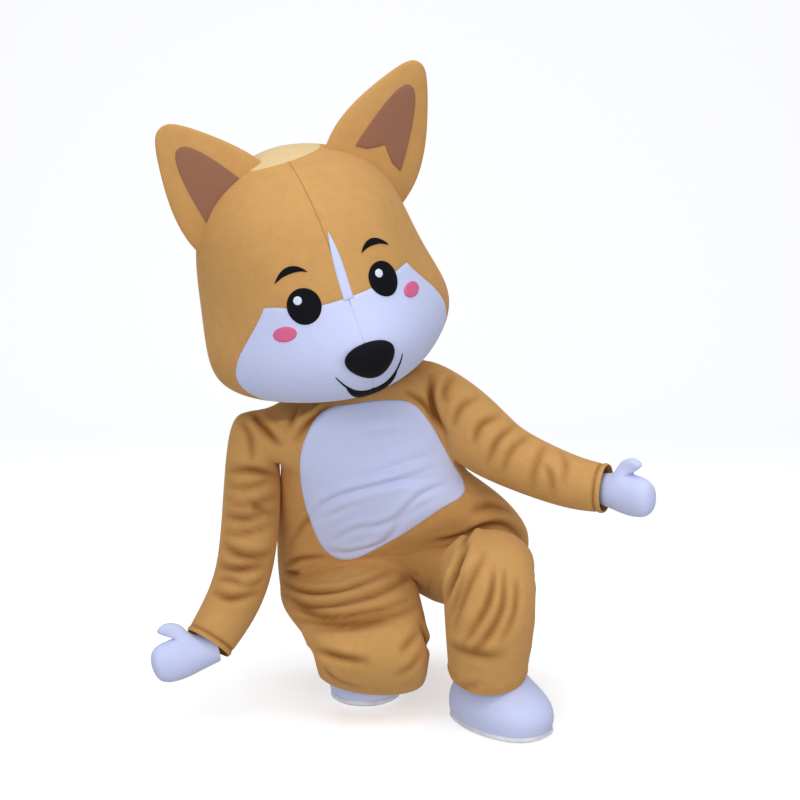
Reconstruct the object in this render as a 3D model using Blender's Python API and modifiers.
"""Dog mascot costume, worn and crouching: plush head, body suit, mittens and shoes.

Metres, +Z up, the front towards -Y. The origin is the middle of the suit's neck opening,
where the wearer holds the costume up. Left and right are the wearer's: left is +X.
"""
import math
from collections import defaultdict, namedtuple

import bmesh
import bpy
from mathutils import Matrix, Vector
from mathutils.bvhtree import BVHTree

# Cloth and seams
CLOTH = 0.0025            # short-pile plush of the suit and mittens
HEAD_WALL = 0.012         # foam faced with plush
SHOE_WALL = 0.006         # padded plush upper
SOLE_THICKNESS = 0.014
SEAM_GAP = 0.0003         # between two panels at a seam
LIFT = 0.0006             # under a piece that lies on a panel
APPLIQUE = 0.002          # thickness of a piece that lies on a panel
FLOOR = -0.752            # the ground that the wearer crouches on

LEFT, RIGHT = 1, -1
SIDE_NAME = {LEFT: "left", RIGHT: "right"}


# ---------------------------------------------------------------- scene and finishes

def clear_scene():
    for obj in list(bpy.data.objects):
        bpy.data.objects.remove(obj, do_unlink=True)
    for mesh in list(bpy.data.meshes):
        bpy.data.meshes.remove(mesh)


def new_collection(name):
    group = bpy.data.collections.new(name)
    bpy.context.scene.collection.children.link(group)
    return group


clear_scene()
COSTUME = new_collection("dog_mascot_costume")
CUTTERS = new_collection("cutters")

# Finish: linear red, green, blue, then roughness
FINISHES = {
    "tan_plush": ((0.56, 0.30, 0.11), 0.9),
    "pale_plush": ((0.80, 0.58, 0.30), 0.9),
    "white_plush": ((0.72, 0.75, 0.90), 0.9),
    "brown_plush": ((0.24, 0.10, 0.055), 0.9),
    "pink_plush": ((0.70, 0.12, 0.24), 0.9),
    "black_cloth": ((0.010, 0.010, 0.014), 0.35),
    "glint_cloth": ((0.85, 0.87, 0.95), 0.5),
    "sole_rubber": ((0.35, 0.35, 0.38), 0.6),
}


def finish_for(node, finish):
    """Each node has its own material, with the colour of its cloth."""
    colour, roughness = FINISHES[finish]
    material = bpy.data.materials.new(node)
    material.use_nodes = True
    shader = material.node_tree.nodes["Principled BSDF"]
    shader.inputs["Base Color"].default_value = (*colour, 1.0)
    shader.inputs["Roughness"].default_value = roughness
    shader.inputs["Metallic"].default_value = 0.0
    material.diffuse_color = (*colour, 1.0)
    return material


def add_node(name, mesh, finish):
    mesh.name = name
    mesh.materials.clear()
    mesh.materials.append(finish_for(name, finish))
    mesh.shade_smooth()
    mesh.set_sharp_from_angle(angle=math.radians(40))
    node = bpy.data.objects.new(name, mesh)
    COSTUME.objects.link(node)
    return node


def add_cutter(name, mesh):
    cutter = bpy.data.objects.new(name, mesh)
    cutter.hide_render = True
    cutter.display_type = "WIRE"
    CUTTERS.objects.link(cutter)
    return cutter


# ---------------------------------------------------------------- coarse forms and smooth surfaces

class Cage:
    """Points and faces of a coarse form, each face with the name of its panel."""

    def __init__(self):
        self.points = []
        self.faces = []
        self.panels = []

    def ring(self, points):
        first = len(self.points)
        self.points.extend(Vector(point) for point in points)
        return list(range(first, len(self.points)))

    def face(self, corners, panel):
        self.faces.append(tuple(corners))
        self.panels.append(panel)

    def band(self, upper, lower, panel_of, mirrored=False, open_columns=()):
        """Join two rings by a row of faces, leaving the open columns out."""
        count = len(upper)
        for column in range(count):
            if column in open_columns:
                continue
            after = (column + 1) % count
            corners = (upper[column], lower[column], lower[after], upper[after])
            self.face(corners[::-1] if mirrored else corners, panel_of(column))


class Surface:
    """A smooth surface in triangles: points, outward normals, and each triangle's panel."""

    def __init__(self, cage, levels):
        names = sorted(set(cage.panels))
        mesh = bpy.data.meshes.new("cage")
        mesh.from_pydata(cage.points, [], cage.faces)
        number = mesh.attributes.new("panel", "INT", "FACE")
        number.data.foreach_set("value", [names.index(panel) for panel in cage.panels])
        holder = add_cutter("cage", mesh)
        smoothing = holder.modifiers.new("smooth", "SUBSURF")
        smoothing.levels = levels
        smoothing.render_levels = levels
        evaluated = holder.evaluated_get(bpy.context.evaluated_depsgraph_get())
        smooth = bpy.data.meshes.new_from_object(evaluated)
        bpy.data.objects.remove(holder)
        self.points = [vertex.co.copy() for vertex in smooth.vertices]
        self.quads = [tuple(polygon.vertices) for polygon in smooth.polygons]
        self.quad_panels = [names[item.value] for item in smooth.attributes["panel"].data]
        bpy.data.meshes.remove(smooth)
        self.settle()

    def settle(self):
        """Split each face along its shorter diagonal and measure the normals again."""
        self.faces = []
        self.panels = []
        for quad, panel in zip(self.quads, self.quad_panels):
            a, b, c, d = (self.points[index] for index in quad)
            if (c - a).length <= (d - b).length:
                halves = ((0, 1, 2), (0, 2, 3))
            else:
                halves = ((0, 1, 3), (1, 2, 3))
            for half in halves:
                self.faces.append(tuple(quad[corner] for corner in half))
                self.panels.append(panel)
        self.normals = [Vector() for _ in self.points]
        for face in self.faces:
            a, b, c = (self.points[index] for index in face)
            area = (b - a).cross(c - a)
            for index in face:
                self.normals[index] += area
        for normal in self.normals:
            normal.normalize()

    def grown_form(self, distance):
        """The whole surface moved out and closed at its openings, as one solid mesh."""
        form = bmesh.new()
        moved = [form.verts.new(p + n * distance) for p, n in zip(self.points, self.normals)]
        for face in self.faces:
            form.faces.new([moved[index] for index in face])
        open_edges = [edge for edge in form.edges if edge.is_boundary]
        bmesh.ops.holes_fill(form, edges=open_edges, sides=0)
        bmesh.ops.triangulate(form, faces=[face for face in form.faces if len(face.verts) > 3])
        return mesh_of(form)


def mesh_of(form):
    mesh = bpy.data.meshes.new("form")
    form.to_mesh(mesh)
    form.free()
    return mesh


def rim_edges(faces):
    """The edges that only one face has, in that face's direction."""
    edges = {(face[i], face[(i + 1) % len(face)]) for face in faces for i in range(len(face))}
    return sorted(edge for edge in edges if (edge[1], edge[0]) not in edges)


def panel_wall(surface, panel, thickness):
    """A panel of cloth: its outer points, the same points moved in, and a rim round the edge."""
    faces = [face for face, name in zip(surface.faces, surface.panels) if name == panel]
    rim = rim_edges(faces)
    inward = defaultdict(list)
    for start, end in rim:
        along = surface.points[end] - surface.points[start]
        for index in (start, end):
            inward[index].append(surface.normals[index].cross(along).normalized())
    form = bmesh.new()
    outer = {}
    inner = {}
    for index in sorted({corner for face in faces for corner in face}):
        point = surface.points[index].copy()
        if index in inward:
            first, last = inward[index][0], inward[index][-1]
            point += (first + last) * (SEAM_GAP / 2 / max(0.3, 1 + first.dot(last)))
        outer[index] = form.verts.new(point)
        inner[index] = form.verts.new(point - surface.normals[index] * thickness)
    for face in faces:
        form.faces.new([outer[index] for index in face])
        form.faces.new([inner[index] for index in reversed(face)])
    for start, end in rim:
        low, high = min(start, end), max(start, end)
        across = [(outer[low], outer[high], inner[high]), (outer[low], inner[high], inner[low])]
        for corners in across:
            form.faces.new(corners if low == end else corners[::-1])
    return mesh_of(form)


def boolean(mesh, other, operation, crossing=False):
    """One Boolean of two closed meshes, applied. Crossing says that one may cross itself."""
    base = add_cutter("base", mesh)
    tool = add_cutter("tool", other)
    step = base.modifiers.new("step", "BOOLEAN")
    step.operation = operation
    step.solver = "EXACT"
    step.use_self = crossing
    step.object = tool
    evaluated = base.evaluated_get(bpy.context.evaluated_depsgraph_get())
    result = bpy.data.meshes.new_from_object(evaluated)
    bpy.data.objects.remove(base)
    bpy.data.objects.remove(tool)
    return result


def prism(outline, centre, normal, up, depth):
    """A cutter with a flat outline (across, up), standing through a surface at centre."""
    across = up.cross(normal).normalized()
    rise = normal.cross(across).normalized()
    form = bmesh.new()
    ends = []
    for shift in (-depth, depth):
        ends.append([form.verts.new(centre + across * x + rise * y + normal * shift)
                     for x, y in outline])
    count = len(outline)
    form.faces.new(ends[0][::-1])
    form.faces.new(ends[1])
    for i in range(count):
        j = (i + 1) % count
        form.faces.new((ends[0][i], ends[0][j], ends[1][j], ends[1][i]))
    return mesh_of(form)


def applique(surface, outline, centre, normal, up, lift=LIFT, thickness=APPLIQUE, depth=0.08,
             crossing=False):
    """A piece laid on a surface: the surface's points moved out, inside an outline."""
    cutter = prism(outline, centre, normal, up, depth)
    top = boolean(cutter, surface.grown_form(lift + thickness), "INTERSECT", crossing)
    return boolean(top, surface.grown_form(lift), "DIFFERENCE", crossing)


def oval(half_width, half_height, count):
    angles = [2 * math.pi * i / count for i in range(count)]
    return [(half_width * math.cos(angle), half_height * math.sin(angle)) for angle in angles]


# ---------------------------------------------------------------- body suit

SLEEVE_ANGLES = range(0, 360, 30)      # from the top, backwards and down
LEG_ANGLES = range(-30, 330, 30)       # from the front, outwards

# A ring round the trunk. Tilt raises its left side, lean raises its front, and turn faces it to
# the wearer's left, in degrees.
TorsoRing = namedtuple("TorsoRing", "name x y z half_width half_depth tilt lean turn")
TORSO = [
    TorsoRing("neck",      0.004, -0.010,  0.002, 0.080, 0.076,  16, -8, 18),
    TorsoRing("collar",    0.003,  0.008, -0.010, 0.130, 0.102,  17, -6, 18),
    TorsoRing("shoulder",  0.001,  0.026, -0.011, 0.216, 0.122,  18.5, -4, 18),
    TorsoRing("chest",     0.043,  0.032, -0.105, 0.200, 0.142,   7,  0, 18),
    TorsoRing("underarm",  0.074,  0.040, -0.200, 0.212, 0.152,  -4,  0, 12),
    TorsoRing("waist",     0.112,  0.068, -0.275, 0.260, 0.166,   0,  5,  6),
    TorsoRing("hips",      0.141,  0.120, -0.410, 0.303, 0.186,   9, 18,  0),
    TorsoRing("groin",     0.146,  0.135, -0.468, 0.300, 0.180,  10, 27,  0),
]
# The middle of the front is at 0, and the left seam under the arm at 90.
TORSO_ANGLES = [0, 27, 53, 72, 90, 108, 130, 155, 180, 205, 230, 252, 270, 288, 307, 333]
TORSO_COLUMNS = len(TORSO_ANGLES)
ROW = {ring.name: number for number, ring in enumerate(TORSO)}

# The crotch runs under the seat, from the middle of the front to the middle of the back.
CrotchPoint = namedtuple("CrotchPoint", "x y z")
CROTCH = [
    CrotchPoint(0.200, -0.010, -0.500),
    CrotchPoint(0.195, 0.100, -0.545),
    CrotchPoint(0.180, 0.220, -0.545),
]

# A ring round a limb. Across is its half width from side to side, and through from front to back.
# A slanted ring isn't square to the limb: its top leans along the limb. Roll turns it about the
# limb. Both are in degrees.
LimbRing = namedtuple("LimbRing", "name x y z across through slant roll", defaults=[0, 0])
SLEEVES = {
    LEFT: [
        LimbRing("cap",      0.290,  0.026, -0.091, 0.093, 0.092, -16),
        LimbRing("upper",    0.343, -0.005, -0.140, 0.080, 0.076),
        LimbRing("bicep",    0.400, -0.028, -0.170, 0.072, 0.067),
        LimbRing("forearm",  0.530, -0.084, -0.214, 0.060, 0.060),
        LimbRing("cuff",     0.598, -0.114, -0.216, 0.054, 0.054),
    ],
    RIGHT: [
        LimbRing("cap",     -0.200,  0.000, -0.106, 0.082, 0.077, -12),
        LimbRing("upper",   -0.207,  0.000, -0.215, 0.075, 0.067),
        LimbRing("elbow",   -0.216, -0.042, -0.400, 0.073, 0.066),
        LimbRing("forearm", -0.244, -0.090, -0.490, 0.064, 0.063),
        LimbRing("cuff",    -0.300, -0.138, -0.570, 0.054, 0.055),
    ],
}
LEGS = {
    LEFT: [
        LimbRing("seat",     0.320,  0.035, -0.476, 0.122, 0.105, 50),
        LimbRing("over",     0.328, -0.105, -0.382, 0.106, 0.096, 20),
        LimbRing("knee",     0.332, -0.190, -0.400, 0.102, 0.090),
        LimbRing("under",    0.335, -0.216, -0.485, 0.102, 0.090),
        LimbRing("hem",      0.332, -0.174, -0.620, 0.088, 0.095),
    ],
    RIGHT: [
        LimbRing("seat",     0.012,  0.026, -0.500, 0.162, 0.095, 26),
        LimbRing("over",     0.057, -0.110, -0.528, 0.137, 0.076, 22),
        LimbRing("knee",     0.078, -0.176, -0.592, 0.130, 0.078),
        LimbRing("under",    0.069, -0.130, -0.682, 0.120, 0.050, 0, 20),
        LimbRing("hem",      0.076,  0.014, -0.632, 0.094, 0.030, 0, 20),
    ],
}


def smooth_shrink(count):
    """How far smoothing draws a ring of this many points inwards."""
    return 2 / 3 + math.cos(2 * math.pi / count) / 3


# A section of the suit: its middle, and the vectors from there to its side and to its front.
Section = namedtuple("Section", "centre side front")


def on_section(section, degrees, grow=1.0):
    angle = math.radians(degrees)
    return (section.centre + section.side * (grow * math.sin(angle))
            + section.front * (grow * math.cos(angle)))


def torso_sections():
    """Round the trunk the angle runs from the middle of the front towards the left."""
    sections = []
    for ring in TORSO:
        tilt = math.radians(ring.tilt)
        lean = math.radians(ring.lean)
        turn = Matrix.Rotation(math.radians(ring.turn), 3, "Z")
        side = turn @ Vector((math.cos(tilt), 0, math.sin(tilt))) * ring.half_width
        front = turn @ Vector((0, -math.cos(lean), math.sin(lean))) * ring.half_depth
        sections.append(Section(Vector((ring.x, ring.y, ring.z)), side, front))
    return sections


def limb_sections(rings, root, start, facing, side):
    """Sections square to the limb's path. It starts one way, and facing turns with it."""
    centres = [Vector((ring.x, ring.y, ring.z)) for ring in rings]
    sections = []
    for number, ring in enumerate(rings):
        before = centres[number - 1] if number else root
        after = centres[min(number + 1, len(centres) - 1)]
        along = (after - before).normalized()
        facing = start.rotation_difference(along) @ facing
        start = along
        outward = facing.cross(along) * side
        slant = math.radians(ring.slant)
        front = facing * math.cos(slant) + along * math.sin(slant)
        roll = Matrix.Rotation(math.radians(ring.roll), 3, along)
        sections.append(Section(centres[number], roll @ outward * ring.across,
                                roll @ front * ring.through))
    return sections


def ring_points(section, angles):
    grow = 1 / smooth_shrink(len(angles))
    return [on_section(section, angle, grow) for angle in angles]


def suit_cage():
    """The whole suit, and its sections by part, for the folds."""
    cage = Cage()
    sections = {"torso": torso_sections()}
    trunk = [cage.ring(ring_points(section, TORSO_ANGLES)) for section in sections["torso"]]
    crotch = cage.ring(CROTCH)
    arm_top, arm_middle, arm_low = ROW["shoulder"], ROW["chest"], ROW["underarm"]
    half = TORSO_COLUMNS // 2
    quarter = TORSO_COLUMNS // 4

    def trunk_panel(column):
        if column < quarter or column >= TORSO_COLUMNS - quarter:
            return "torso_front"
        return "torso_back_left" if column < half else "torso_back_right"

    for row in range(len(TORSO) - 1):
        armholes = (2, 3, 4, 5, 10, 11, 12, 13) if arm_top <= row < arm_low else ()
        cage.band(trunk[row], trunk[row + 1], trunk_panel, open_columns=armholes)

    for side in (LEFT, RIGHT):
        mirrored = side == RIGHT

        def at(row, column):
            return trunk[row][column * side % TORSO_COLUMNS]

        armhole = [at(arm_top, 4), at(arm_top, 5), at(arm_top, 6), at(arm_middle, 6)]
        armhole += [at(arm_low, column) for column in (6, 5, 4, 3, 2)]
        armhole += [at(arm_middle, 2), at(arm_top, 2), at(arm_top, 3)]
        root = sum((cage.points[index] for index in armhole), Vector()) / len(armhole)
        sleeve = f"sleeve_{SIDE_NAME[side]}"
        outwards, upwards = Vector((side, 0, 0)), Vector((0, 0, 1))
        sections[sleeve] = limb_sections(SLEEVES[side], root, outwards, upwards, side)
        upper = armhole
        for section in sections[sleeve]:
            lower = cage.ring(ring_points(section, SLEEVE_ANGLES))
            cage.band(upper, lower, lambda column: sleeve, mirrored)
            upper = lower

        leg_root = [at(ROW["groin"], column) for column in range(half + 1)] + crotch[::-1]
        root = sum((cage.points[index] for index in leg_root), Vector()) / len(leg_root)
        leg = f"leg_{SIDE_NAME[side]}"
        outer_seam, inner_seam = quarter, 10

        def leg_panel(column):
            return f"{leg}_back" if outer_seam <= column < inner_seam else f"{leg}_front"

        down, forwards = Vector((0, 0, -1)), Vector((0, -1, 0))
        sections[leg] = limb_sections(LEGS[side], root, down, forwards, side)
        upper = leg_root
        for section in sections[leg]:
            lower = cage.ring(ring_points(section, LEG_ANGLES))
            cage.band(upper, lower, leg_panel, mirrored)
            upper = lower
    return cage, sections


# A fold runs over a part from its start by way of a middle to its end. Each of the three is
# (degrees round the part, rings down it); width and depth are in metres.
Fold = namedtuple("Fold", "part start middle end width depth")
FOLDS = [
    Fold("torso", (10, 3.9), (-32, 4.8), (-78, 5.6), 0.030, 0.013),
    Fold("torso", (4, 5.0), (-28, 5.3), (-50, 5.7), 0.028, 0.010),
    Fold("torso", (34, 4.2), (56, 4.5), (80, 5.0), 0.026, 0.012),
    Fold("torso", (30, 5.6), (-20, 5.9), (-70, 6.0), 0.030, 0.011),
    Fold("torso", (150, 4.1), (185, 4.4), (215, 4.0), 0.034, 0.014),
    Fold("torso", (120, 5.1), (165, 5.4), (205, 5.1), 0.032, 0.012),
    Fold("sleeve_left", (-150, 0.6), (-95, 1.1), (-55, 1.7), 0.024, 0.011),
    Fold("sleeve_left", (-150, 1.7), (-95, 2.0), (-45, 2.5), 0.022, 0.009),
    Fold("sleeve_left", (100, 0.9), (150, 1.4), (190, 1.2), 0.024, 0.010),
    Fold("sleeve_right", (-165, 1.4), (-95, 1.6), (-35, 1.5), 0.022, 0.010),
    Fold("sleeve_right", (-170, 2.2), (-105, 2.4), (-40, 2.1), 0.022, 0.011),
    Fold("sleeve_right", (60, 1.7), (105, 1.9), (150, 1.6), 0.022, 0.009),
    Fold("leg_left", (-80, 0.1), (-20, 0.0), (60, 0.2), 0.030, 0.014),
    Fold("leg_left", (10, 2.1), (-15, 2.9), (-45, 3.5), 0.026, 0.011),
    Fold("leg_left", (-95, 3.4), (-50, 3.6), (0, 3.5), 0.024, 0.012),
    Fold("leg_right", (88, 0.3), (20, 0.9), (-55, 0.8), 0.030, 0.013),
    Fold("leg_right", (95, 1.4), (50, 1.7), (0, 1.8), 0.026, 0.011),
    Fold("leg_right", (70, 2.1), (30, 2.3), (-25, 2.1), 0.024, 0.009),
]


def part_point(sections, place):
    """The point of a part at (degrees round, rings down)."""
    degrees, down = place
    first = max(0, min(int(math.floor(down)), len(sections) - 2))
    share = down - first
    upper, lower = sections[first], sections[first + 1]
    between = Section(*(a.lerp(b, share) for a, b in zip(upper, lower)))
    return on_section(between, degrees)


def fold_path(sections, fold, count=18):
    """Points along a fold with how strong it is there: full in the middle, nothing at the ends."""
    path = []
    for i in range(count + 1):
        share = i / count
        place = []
        for start, middle, end in zip(fold.start, fold.middle, fold.end):
            bend = 2 * middle - (start + end) / 2
            place.append(start * (1 - share) ** 2 + 2 * bend * share * (1 - share)
                         + end * share ** 2)
        path.append((part_point(sections, place), math.sin(math.pi * share) ** 0.6))
    return path


def press_folds(suit, sections):
    """Press each fold into the cloth as a trough with a soft ridge along either side."""
    tree = BVHTree.FromPolygons(suit.points, suit.faces)
    parts = defaultdict(set)
    for quad, panel in zip(suit.quads, suit.quad_panels):
        part = "_".join(panel.split("_")[:1 if panel.startswith("torso") else 2])
        parts[part].update(quad)
    moves = defaultdict(float)
    for fold in FOLDS:
        path = [(tree.find_nearest(point)[0], strength)
                for point, strength in fold_path(sections[fold.part], fold)]
        for index in parts[fold.part]:
            point = suit.points[index]
            away, strength = min(((point - on_path).length, strong) for on_path, strong in path)
            trough = math.exp(-(away / fold.width) ** 2)
            ridge = math.exp(-((away - 1.7 * fold.width) / (0.7 * fold.width)) ** 2)
            moves[index] += fold.depth * strength * (0.5 * ridge - trough)
    for index, move in moves.items():
        suit.points[index] += suit.normals[index] * move
    suit.settle()


def make_suit():
    cage, sections = suit_cage()
    suit = Surface(cage, levels=1)
    press_folds(suit, sections)
    for panel in sorted(set(suit.panels)):
        add_node(panel, panel_wall(suit, panel, CLOTH), "tan_plush")
    return suit


# ---------------------------------------------------------------- head

HEAD_CENTRE = Vector((-0.051, -0.060, 0.233))
HEAD_ROLL = 15.5          # degrees, the top towards the wearer's right
HEAD_NOD = 8.0            # degrees, the face downwards
HEAD_TURN = 16.2          # degrees, the face towards the wearer's left
HEAD_COLUMNS = 16
MUZZLE = {"forward": 0.086, "half_width": 0.125, "half_height": 0.088, "height": -0.118}

# The head's own axes: x to the wearer's left, y forwards, z up.
HEAD_TO_WORLD = (Matrix.Translation(HEAD_CENTRE)
                 @ Matrix.Rotation(math.radians(-HEAD_ROLL), 4, "Y")
                 @ Matrix.Rotation(math.radians(HEAD_NOD), 4, "X")
                 @ Matrix.Rotation(math.radians(HEAD_TURN), 4, "Z")
                 @ Matrix.Scale(-1, 4, (0, 1, 0)))

# A ring round the head, from the crown to the neck opening.
HeadRing = namedtuple("HeadRing", "name height half_width front back temple tilt", defaults=[1, 0])
HEAD = [
    HeadRing("crown",     0.304, 0.098, 0.092, 0.112),
    HeadRing("ears",      0.264, 0.172, 0.152, 0.182),
    HeadRing("forehead",  0.192, 0.227, 0.215, 0.226, 0.985),
    HeadRing("brow",      0.110, 0.260, 0.248, 0.248, 0.915),
    HeadRing("mask",      0.030, 0.274, 0.262, 0.255, 0.925),
    HeadRing("cheek",    -0.050, 0.282, 0.265, 0.254, 0.980),
    HeadRing("muzzle",   -0.120, 0.281, 0.256, 0.242),
    HeadRing("jaw",      -0.183, 0.256, 0.232, 0.212, 0.91, 0.04),
    HeadRing("chin",     -0.212, 0.212, 0.196, 0.180, 0.88, 0.08),
    HeadRing("rim",      -0.222, 0.160, 0.154, 0.150, 0.90, 0.08),
]
HEAD_ROW = {ring.name: number for number, ring in enumerate(HEAD)}
# Degrees from the middle of the face to the side edge of the mask, which one column follows. The
# columns in front share that angle, and those behind it share the rest of the way round.
MASK_COLUMN, EAR_SEAM_COLUMN = 3, 5
MaskEdge = namedtuple("MaskEdge", "right left")
MASK_EDGE = {
    "crown":    MaskEdge(50, 50),
    "ears":     MaskEdge(50, 50),
    "forehead": MaskEdge(44, 44),
    "brow":     MaskEdge(36, 36),
    "mask":     MaskEdge(33, 34),
    "cheek":    MaskEdge(60, 53),
    "muzzle":   MaskEdge(69, 63),
    "jaw":      MaskEdge(67, 68),
    "chin":     MaskEdge(70, 70),
    "rim":      MaskEdge(70, 70),
}
# The mask's upper edge, column by column from the middle of the face.
MASK_HEIGHT = {LEFT: [0.019, 0.018, 0.024, 0.042, 0.020], RIGHT: [0.019, 0.018, 0.024, 0.058, 0.020]}
CROWN_POLE = Vector((0.0, -0.015, 0.326))


def head_point(azimuth, ring, height):
    """A point of the head's form, in its own axes, with the muzzle swelling forwards."""
    angle = math.radians(azimuth)
    drawn_in = max(0.0, min(1.0, (120 - abs(azimuth)) / 40))
    x = ring.half_width * math.sin(angle) * (1 - (1 - ring.temple) * drawn_in)
    reach = ring.front if math.cos(angle) > 0 else ring.back
    y = reach * math.cos(angle)
    if y > 0:
        swell = (x / MUZZLE["half_width"]) ** 2
        swell += ((height - MUZZLE["height"]) / MUZZLE["half_height"]) ** 2
        y += MUZZLE["forward"] * math.exp(-swell)
    return Vector((x, y, height - ring.tilt * min(x, 0)))


def column_azimuth(step, edge):
    """Degrees round the head to a column, counted from the middle of the face."""
    if step <= MASK_COLUMN:
        return edge * step / MASK_COLUMN
    if step < EAR_SEAM_COLUMN:
        return (edge + 90) / 2
    return 90 + 30 * (step - EAR_SEAM_COLUMN)


def head_ring(ring):
    shrink = smooth_shrink(HEAD_COLUMNS)
    wider = ring._replace(half_width=ring.half_width / shrink, front=ring.front / shrink,
                          back=ring.back / shrink)
    points = []
    for column in range(HEAD_COLUMNS):
        side = LEFT if column <= HEAD_COLUMNS // 2 else RIGHT
        step = column if side == LEFT else HEAD_COLUMNS - column
        azimuth = column_azimuth(step, getattr(MASK_EDGE[ring.name], SIDE_NAME[side]))
        height = ring.height
        if ring.name == "mask" and step < len(MASK_HEIGHT[side]):
            height = MASK_HEIGHT[side][step]
        points.append(HEAD_TO_WORLD @ head_point(azimuth * side, wider, height))
    return points


def head_panel(row, column):
    """Which panel a face of the head belongs to."""
    side = "left" if column < HEAD_COLUMNS // 2 else "right"
    step = column if side == "left" else HEAD_COLUMNS - 1 - column
    if row >= HEAD_ROW["mask"] and step < MASK_COLUMN:
        return f"mask_{side}"
    return f"head_back_{side}" if step >= EAR_SEAM_COLUMN else f"head_front_{side}"


def head_cage():
    cage = Cage()
    pole = cage.ring([HEAD_TO_WORLD @ CROWN_POLE])[0]
    rings = [cage.ring(head_ring(ring)) for ring in HEAD]
    for column in range(HEAD_COLUMNS):
        cage.face((pole, rings[0][column], rings[0][(column + 1) % HEAD_COLUMNS]), "crown")
    for row in range(len(HEAD) - 1):
        cage.band(rings[row], rings[row + 1], lambda column: head_panel(row, column))
    return cage


def on_head(surface_tree, x, height):
    """Where a line from the front meets the head, and the head's outward normal there."""
    origin = HEAD_TO_WORLD @ Vector((x, 1.0, height))
    target = HEAD_TO_WORLD @ Vector((x, 0.0, height))
    point, normal, _, _ = surface_tree.ray_cast(origin, target - origin)
    return point, normal


def head_axis(direction):
    return (HEAD_TO_WORLD.to_3x3() @ Vector(direction)).normalized()


# ---------------------------------------------------------------- ears

EAR_DEPTH = 0.044         # front to back at the foot
EAR_COLUMNS = 8
# Across the ear's own height: half width, thickness as a share of EAR_DEPTH, and lean outwards.
EarRing = namedtuple("EarRing", "rise half_width share")
EAR = [
    EarRing(-0.060, 0.112, 1.00),
    EarRing(0.000, 0.124, 1.00),
    EarRing(0.080, 0.107, 0.85),
    EarRing(0.160, 0.068, 0.60),
    EarRing(0.230, 0.027, 0.36),
]
EAR_TIP = 0.242
EAR_SEAT = {LEFT: Vector((0.199, 0.027, 0.236)), RIGHT: Vector((-0.132, 0.027, 0.225))}
# Roll spreads the ear outwards, pitch tips it backwards, turn faces it outwards; in degrees.
EarPose = namedtuple("EarPose", "roll pitch turn")
EAR_POSES = {LEFT: EarPose(44, 4, 10), RIGHT: EarPose(24, 4, 10)}


def ear_matrix(side):
    pose = EAR_POSES[side]
    return (HEAD_TO_WORLD @ Matrix.Translation(EAR_SEAT[side])
            @ Matrix.Rotation(math.radians(pose.roll * side), 4, "Y")
            @ Matrix.Rotation(math.radians(pose.pitch), 4, "X")
            @ Matrix.Rotation(math.radians(-pose.turn * side), 4, "Z"))


def ear_cage(side):
    """A flat cone with a round tip: x across the ear, y forwards, z towards the tip."""
    cage = Cage()
    matrix = ear_matrix(side)
    shrink = smooth_shrink(EAR_COLUMNS)
    rings = []
    for ring in EAR:
        points = []
        for column in range(EAR_COLUMNS):
            angle = 2 * math.pi * column / EAR_COLUMNS
            x = ring.half_width / shrink * math.sin(angle)
            y = EAR_DEPTH / 2 * ring.share / shrink * math.cos(angle)
            points.append(matrix @ Vector((x, y, ring.rise)))
        rings.append(cage.ring(points))
    tip = cage.ring([matrix @ Vector((0, 0, EAR_TIP))])[0]
    foot = cage.ring([matrix @ Vector((0, 0, EAR[0].rise))])[0]
    for column in range(0, EAR_COLUMNS, 2):
        one, two = rings[-1][column], rings[-1][column + 1]
        three = rings[-1][(column + 2) % EAR_COLUMNS]
        cage.face((tip, one, two, three), "ear")
        one, two = rings[0][column], rings[0][column + 1]
        three = rings[0][(column + 2) % EAR_COLUMNS]
        cage.face((foot, three, two, one), "ear")
    for row in range(len(rings) - 1):
        cage.band(rings[row + 1], rings[row], lambda column: "ear")
    return cage


# ---------------------------------------------------------------- mittens

GLOVE_COLUMNS = 8
# A ring round the hand, measured along it from the wrist.
HandRing = namedtuple("HandRing", "name along half_width half_thickness")
HAND = [
    HandRing("wrist",   -0.028, 0.034, 0.034),
    HandRing("palm",     0.022, 0.041, 0.037),
    HandRing("thumb",    0.052, 0.047, 0.036),
    HandRing("knuckle",  0.086, 0.047, 0.033),
    HandRing("fingers",  0.116, 0.038, 0.028),
]
HAND_TIP = 0.130
# Along the thumb: out from the hand's side, along the hand, and half thickness.
ThumbRing = namedtuple("ThumbRing", "out along half")
THUMB = [
    ThumbRing(0.062, 0.050, 0.018),
    ThumbRing(0.074, 0.068, 0.017),
    ThumbRing(0.081, 0.082, 0.012),
]
# Where each mitten starts, which way it points, and which way its thumb lies.
HandPose = namedtuple("HandPose", "wrist along thumb")
HANDS = {
    LEFT: HandPose((0.604, -0.120, -0.218), (0.68, -0.72, -0.02), (0.10, -0.20, 0.95)),
    RIGHT: HandPose((-0.308, -0.146, -0.584), (-0.92, -0.32, -0.22), (-0.30, 0.10, 0.95)),
}


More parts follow.
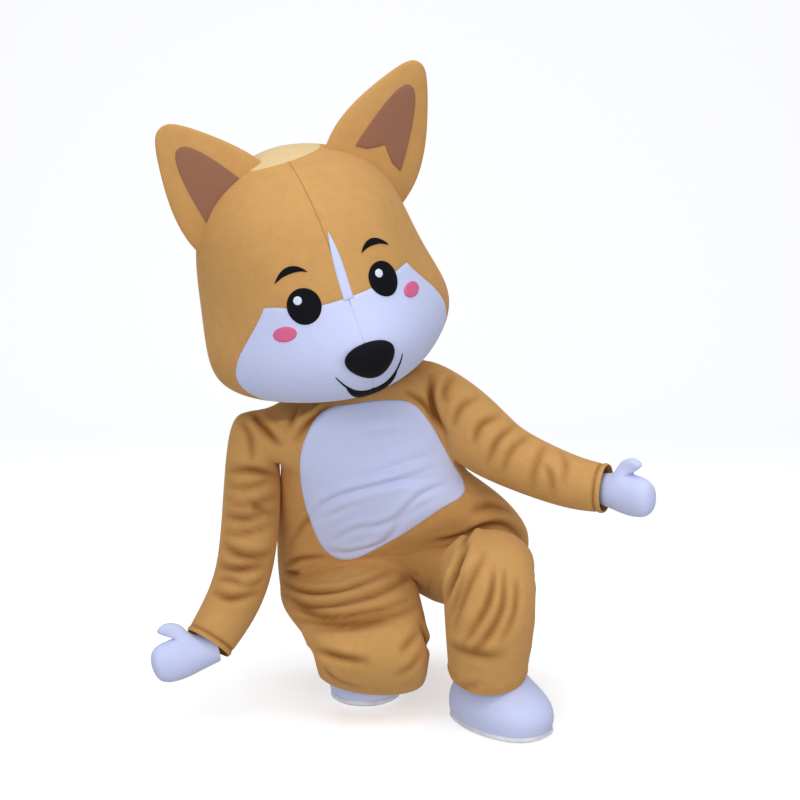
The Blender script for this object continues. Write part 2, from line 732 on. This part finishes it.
def glove_cage(side):
    cage = Cage()
    pose = HANDS[side]
    along = Vector(pose.along).normalized()
    thumb_way = Vector(pose.thumb)
    thumb_way = (thumb_way - along * thumb_way.dot(along)).normalized()
    palm_way = thumb_way.cross(along)
    wrist = Vector(pose.wrist)
    shrink = smooth_shrink(GLOVE_COLUMNS)
    rings = []
    for ring in HAND:
        points = []
        for column in range(GLOVE_COLUMNS):
            angle = 2 * math.pi * column / GLOVE_COLUMNS
            points.append(wrist + along * ring.along
                          + thumb_way * (ring.half_width / shrink * math.cos(angle))
                          + palm_way * (ring.half_thickness / shrink * math.sin(angle)))
        rings.append(cage.ring(points))
    root_row = 1
    for row in range(len(rings) - 1):
        holes = (GLOVE_COLUMNS - 1, 0) if row == root_row else ()
        cage.band(rings[row], rings[row + 1], lambda column: "glove", open_columns=holes)
    last = rings[-1]
    tip = cage.ring([wrist + along * HAND_TIP])[0]
    for column in range(0, GLOVE_COLUMNS, 2):
        after = last[(column + 2) % GLOVE_COLUMNS]
        cage.face((last[column], tip, after, last[column + 1]), "glove")
    near, far = rings[root_row], rings[root_row + 1]
    root = [near[-1], near[0], near[1], far[1], far[0], far[-1]]
    for ring in THUMB:
        centre = wrist + along * ring.along + thumb_way * ring.out
        half = ring.half
        corners = [(-1, -0.8), (-1.2, 0), (-1, 0.8), (1, 0.8), (1.2, 0), (1, -0.8)]
        slope = (along - thumb_way * 0.5).normalized()
        points = [centre + slope * (half * a) + palm_way * (half * b) for a, b in corners]
        lower = cage.ring(points)
        cage.band(root, lower, lambda column: "glove")
        root = lower
    cage.face((root[0], root[5], root[4], root[1]), "glove")
    cage.face((root[1], root[4], root[3], root[2]), "glove")
    return cage


# ---------------------------------------------------------------- shoes

SHOE_COLUMNS = 12
# A ring round the foot, level with the sole: heel and toe along the foot from the ankle's middle.
ShoeRing = namedtuple("ShoeRing", "name height heel toe half_width")
SHOE = [
    ShoeRing("welt",    0.000, -0.095, 0.172, 0.082),
    ShoeRing("side",    0.028, -0.100, 0.179, 0.088),
    ShoeRing("vamp",    0.066, -0.092, 0.160, 0.082),
    ShoeRing("ankle",   0.110, -0.064, 0.074, 0.053),
    ShoeRing("opening", 0.148, -0.054, 0.054, 0.048),
]
# The place under the ankle, the way the toe points, how far the heel is raised, and how far the
# ankle leans forwards over the foot; angles in degrees. Shaft scales the ankle's height.
ShoePose = namedtuple("ShoePose", "x y z turn heel_up lean shaft")
SHOES = {
    LEFT: ShoePose(0.332, -0.142, FLOOR + 0.0145, 44, 0, 15, 1.0),
    RIGHT: ShoePose(0.062, 0.114, FLOOR + 0.0145, -6, 0, 24, 0.60),
}


def shoe_matrix(side):
    pose = SHOES[side]
    return (Matrix.Translation((pose.x, pose.y, pose.z))
            @ Matrix.Rotation(math.radians(pose.turn), 4, "Z")
            @ Matrix.Rotation(math.radians(pose.heel_up), 4, "X"))


def shoe_outline(ring, count):
    """Round the foot: the toe is the broad end, towards -Y."""
    points = []
    middle = (ring.heel + ring.toe) / 2
    reach = (ring.toe - ring.heel) / 2
    for column in range(count):
        angle = 2 * math.pi * column / count
        forward = middle + reach * math.cos(angle)
        broad = 1 + 0.16 * math.cos(angle)
        width = ring.half_width * broad * math.copysign(abs(math.sin(angle)) ** 0.85, math.sin(angle))
        points.append((width, -forward))
    return points


def shoe_cage(side):
    cage = Cage()
    pose = SHOES[side]
    matrix = shoe_matrix(side)
    shrink = smooth_shrink(SHOE_COLUMNS)
    upper = None
    for ring in reversed(SHOE):
        outline = shoe_outline(ring, SHOE_COLUMNS)
        centre = -(ring.heel + ring.toe) / 2
        height = ring.height * pose.shaft
        over = max(0.0, height - SHOE[2].height * pose.shaft) * math.tan(math.radians(pose.lean))
        points = [matrix @ Vector((x / shrink, centre + (y - centre) / shrink - over, height))
                  for x, y in outline]
        lower = cage.ring(points)
        if upper:
            cage.band(upper, lower, lambda column: "shoe")
        upper = lower
    return cage


def make_sole(side):
    """A rubber slab under the upper, with its lower edge rounded."""
    outline = shoe_outline(SHOE[0], 2 * SHOE_COLUMNS)
    form = bmesh.new()
    rings = []
    for height, inset in ((-SEAM_GAP, 0.0), (-0.6 * SOLE_THICKNESS, -0.002), (-SOLE_THICKNESS, 0.006)):
        rings.append([form.verts.new((x * (1 - inset / 0.082), y + inset * (y < 0) - inset * (y > 0),
                                      height)) for x, y in outline])
    form.faces.new(rings[0])
    form.faces.new(rings[-1][::-1])
    for upper, lower in zip(rings, rings[1:]):
        for i in range(len(upper)):
            j = (i + 1) % len(upper)
            form.faces.new((upper[i], lower[i], lower[j], upper[j]))
    mesh = mesh_of(form)
    mesh.transform(shoe_matrix(side))
    return mesh


# ---------------------------------------------------------------- features laid on

# Each outline is in metres across and up, about a point of the face (x across, height up).
EYE = {"x": 0.090, "height": 0.029, "half_width": 0.037, "half_height": 0.0385, "thickness": 0.004}
GLINT = {"x": -0.009, "height": 0.015, "radius": 0.0092, "thickness": 0.0015}
BROW = {"x": 0.096, "height": 0.0915, "half_length": 0.037, "rise": 0.016, "thickest": 0.0125,
        "slope": 0.11}
CHEEK = {"x": {LEFT: 0.149, RIGHT: 0.142}, "height": -0.0195, "half_width": 0.028,
         "half_height": 0.0160}
BLAZE = {"tip": 0.157, "foot": 0.012, "half_width": 0.0105, "lean": 0.008}
NOSE = {"height": -0.110, "half_width": 0.053, "half_depth": 0.034, "half_height": 0.038}
SMILE = {"height": -0.159, "half_width": 0.076, "drop": 0.062, "line": 0.0065, "bow": 2.4}
MOUTH = {"half_width": 0.058, "drop": 0.016}
EAR_INNER = {"half_width": 0.064, "foot": 0.002, "tip": 0.179, "tuft": 0.034}
# Places on the edge of the white front, seen from in front, in the part's own frame.
PatchPoint = namedtuple("PatchPoint", "x z")
PATCH = [
    PatchPoint(0.100, -0.022),
    PatchPoint(0.028, -0.026),
    PatchPoint(-0.022, -0.036),
    PatchPoint(-0.057, -0.064),
    PatchPoint(-0.083, -0.120),
    PatchPoint(-0.091, -0.180),
    PatchPoint(-0.084, -0.256),
    PatchPoint(-0.054, -0.357),
    PatchPoint(-0.020, -0.400),
    PatchPoint(0.022, -0.406),
    PatchPoint(0.070, -0.382),
    PatchPoint(0.140, -0.336),
    PatchPoint(0.222, -0.278),
    PatchPoint(0.276, -0.251),
    PatchPoint(0.282, -0.226),
    PatchPoint(0.252, -0.171),
    PatchPoint(0.204, -0.083),
    PatchPoint(0.160, -0.034),
]
PATCH_DEPTH = 0.13        # how far back it may lie from the foremost point of the front


def arc_band(half_length, rise, thickness_at, count, bow=2, slope=0):
    """A band along a shallow arch, with a thickness that changes along it."""
    upper, lower = [], []
    for i in range(count + 1):
        share = 2 * i / count - 1
        x = half_length * share
        y = rise * (1 - abs(share) ** bow) + slope * x
        half = thickness_at(share) / 2
        upper.append((x, y + half))
        lower.append((x, y - half))
    return lower + upper[::-1]


def flame(half_width, foot, tip, lean, count):
    """A tall shape that narrows to a point, standing on a flat foot and leaning to one side."""
    shares = [i / count for i in range(count)]
    right = [(half_width * (1 - share ** 2.5) + lean * share, foot + (tip - foot) * share)
             for share in shares]
    left = [(lean * share - half_width * (1 - share ** 2.5), foot + (tip - foot) * share)
            for share in reversed(shares)]
    return right + [(lean, tip)] + left


def rounded(corners, count):
    """A smooth closed line through the corners, with this many steps between each two."""
    points = []
    for i in range(len(corners)):
        a, b, c, d = (Vector(corners[(i + k) % len(corners)]) for k in (-1, 0, 1, 2))
        for step in range(count):
            t = step / count
            points.append(b + 0.5 * (t * (c - a) + t ** 2 * (2 * a - 5 * b + 4 * c - d)
                                     + t ** 3 * (3 * b - a - 3 * c + d)))
    return points


def make_face(head):
    tree = BVHTree.FromPolygons(head.points, head.faces)
    up = head_axis((0, 0, 1))
    forward = head_axis((0, 1, 0))
    for side in (LEFT, RIGHT):
        name = SIDE_NAME[side]
        centre, normal = on_head(tree, EYE["x"] * side, EYE["height"])
        eye = oval(EYE["half_width"], EYE["half_height"], 16)
        add_node(f"eye_{name}", applique(head, eye, centre, normal, up, thickness=EYE["thickness"]),
                 "black_cloth")
        glint = [(x + GLINT["x"], y + GLINT["height"])
                 for x, y in oval(GLINT["radius"], GLINT["radius"], 10)]
        lift = 2 * LIFT + EYE["thickness"]
        add_node(f"eye_glint_{name}", applique(head, glint, centre, normal, up, lift,
                                               GLINT["thickness"]), "glint_cloth")
        centre, normal = on_head(tree, BROW["x"] * side, BROW["height"])
        brow = arc_band(BROW["half_length"], BROW["rise"],
                        lambda share: BROW["thickest"] * (1.02 - abs(share) ** 1.6), 10,
                        slope=-BROW["slope"] * side)
        add_node(f"brow_{name}", applique(head, brow, centre, normal, up), "black_cloth")
        centre, normal = on_head(tree, CHEEK["x"][side] * side, CHEEK["height"])
        cheek = oval(CHEEK["half_width"], CHEEK["half_height"], 14)
        add_node(f"cheek_{name}", applique(head, cheek, centre, normal, up), "pink_plush")
    middle = (BLAZE["foot"] + BLAZE["tip"]) / 2
    centre, normal = on_head(tree, 0.0, middle)
    blaze = flame(BLAZE["half_width"], BLAZE["foot"] - middle, BLAZE["tip"] - middle,
                  BLAZE["lean"], 8)
    add_node("blaze", applique(head, blaze, centre, forward, up), "white_plush")
    centre, _ = on_head(tree, 0.0, SMILE["height"])
    line = arc_band(SMILE["half_width"], -SMILE["drop"],
                    lambda share: SMILE["line"] * (1.25 - abs(share)), 12, SMILE["bow"])
    line = [(x, y + SMILE["drop"] / 2) for x, y in line]
    add_node("smile", applique(head, line, centre, forward, up), "black_cloth")
    top = [(x, y - SMILE["drop"] / 2 - 0.0065) for x, y in
           [(MOUTH["half_width"] * (i / 5 - 1), 0.0) for i in range(11)]
           for y in [SMILE["drop"] * (abs(x) / SMILE["half_width"]) ** SMILE["bow"]]]
    low = [(x, y - MOUTH["drop"] * (1 - (x / MOUTH["half_width"]) ** 6)) for x, y in top]
    add_node("mouth", applique(head, low + top[-2:0:-1], centre, forward, up), "black_cloth")
    add_node("nose", nose_form(head, tree), "black_cloth")


def nose_form(head, tree):
    """A padded egg, broader above, seated on the muzzle."""
    centre, normal = on_head(tree, 0.0, NOSE["height"])
    form = bmesh.new()
    bmesh.ops.create_uvsphere(form, u_segments=18, v_segments=12, radius=1.0)
    rise = head_axis((0, 0, 1))
    across = head_axis((1, 0, 0))
    out = across.cross(rise)
    out = out if out.dot(normal) > 0 else -out
    for vertex in form.verts:
        x, z, y = vertex.co
        broad = 1 + 0.28 * z
        vertex.co = (centre + across * (NOSE["half_width"] * x * broad)
                     + rise * (NOSE["half_height"] * z) + out * (NOSE["half_depth"] * y))
    bmesh.ops.recalc_face_normals(form, faces=form.faces[:])
    return boolean(mesh_of(form), head.grown_form(LIFT), "DIFFERENCE")


def make_patch(suit):
    tree = BVHTree.FromPolygons(suit.points, suit.faces)
    middle = sum((Vector(point) for point in PATCH), Vector((0, 0))) / len(PATCH)
    origin = Vector((middle.x, -1.0, middle.y))
    centre, _, _, _ = tree.ray_cast(origin, Vector((0, 1, 0)))
    outline = [point - middle for point in rounded(PATCH, 2)]
    patch = applique(suit, outline, centre, Vector((0, -1, 0)), Vector((0, 0, 1)),
                     lift=2 * LIFT, depth=PATCH_DEPTH, crossing=True)
    add_node("belly_patch", patch, "white_plush")


def make_head():
    head = Surface(head_cage(), levels=1)
    finishes = {"mask": "white_plush", "crown": "pale_plush", "head": "tan_plush"}
    for panel in sorted(set(head.panels)):
        finish = finishes[panel.split("_")[0]]
        add_node(panel, panel_wall(head, panel, HEAD_WALL), finish)
    return head


def make_ears(head):
    """Each ear is a front and a back half, seated on the head, with a brown panel let on."""
    for side in (LEFT, RIGHT):
        name = SIDE_NAME[side]
        ear = Surface(ear_cage(side), levels=1)
        whole = ear.grown_form(0.0)
        seated = boolean(whole, head.grown_form(LIFT), "DIFFERENCE")
        matrix = ear_matrix(side)
        for part, sense in (("front", 1), ("back", -1)):
            form = bmesh.new()
            form.from_mesh(seated)
            plane = matrix @ Vector((0, sense * SEAM_GAP / 2, 0))
            way = (matrix.to_3x3() @ Vector((0, sense, 0))).normalized()
            geometry = form.verts[:] + form.edges[:] + form.faces[:]
            cut = bmesh.ops.bisect_plane(form, geom=geometry, plane_co=plane, plane_no=way,
                                         clear_inner=True)
            rim = [item for item in cut["geom_cut"] if isinstance(item, bmesh.types.BMEdge)]
            bmesh.ops.holes_fill(form, edges=rim, sides=0)
            bmesh.ops.triangulate(form, faces=form.faces[:])
            add_node(f"ear_{name}_{part}", mesh_of(form), "tan_plush")
        inner = boolean(ear_inner(ear, matrix), head.grown_form(LIFT), "DIFFERENCE")
        add_node(f"ear_{name}_inner", inner, "brown_plush")


def ear_inner(ear, matrix):
    """The brown panel on the ear's front, with a tuft of tan rising in the middle of its foot."""
    half, foot, tip = EAR_INNER["half_width"], EAR_INNER["foot"], EAR_INNER["tip"]
    tuft = EAR_INNER["tuft"]
    right = [(half * (1 - share) ** 0.45, foot + (tip - foot) * share)
             for share in (0.0, 0.25, 0.5, 0.7, 0.85, 0.95)]
    left = [(-x, y) for x, y in reversed(right)]
    notch = [(-half * 0.55, foot + 0.2 * tuft), (-half * 0.25, foot + 0.6 * tuft),
             (0.0, foot + tuft), (half * 0.25, foot + 0.6 * tuft),
             (half * 0.55, foot + 0.2 * tuft)]
    turn = matrix.to_3x3()
    centre = matrix @ Vector((0, EAR_DEPTH / 2, 0))
    normal = (turn @ Vector((0, 1, 0))).normalized()
    up = (turn @ Vector((0, 0, 1))).normalized()
    return applique(ear, right + [(0.0, tip)] + left + notch, centre, normal, up,
                    depth=EAR_DEPTH / 2)


def make_gloves():
    for side in (LEFT, RIGHT):
        glove = Surface(glove_cage(side), levels=1)
        name = f"glove_{SIDE_NAME[side]}"
        add_node(name, panel_wall(glove, "glove", CLOTH), "white_plush")


def make_shoes():
    for side in (LEFT, RIGHT):
        shoe = Surface(shoe_cage(side), levels=1)
        name = SIDE_NAME[side]
        add_node(f"shoe_{name}", panel_wall(shoe, "shoe", SHOE_WALL), "white_plush")
        add_node(f"sole_{name}", make_sole(side), "sole_rubber")


suit = make_suit()
make_patch(suit)
head = make_head()
make_ears(head)
make_face(head)
make_gloves()
make_shoes()
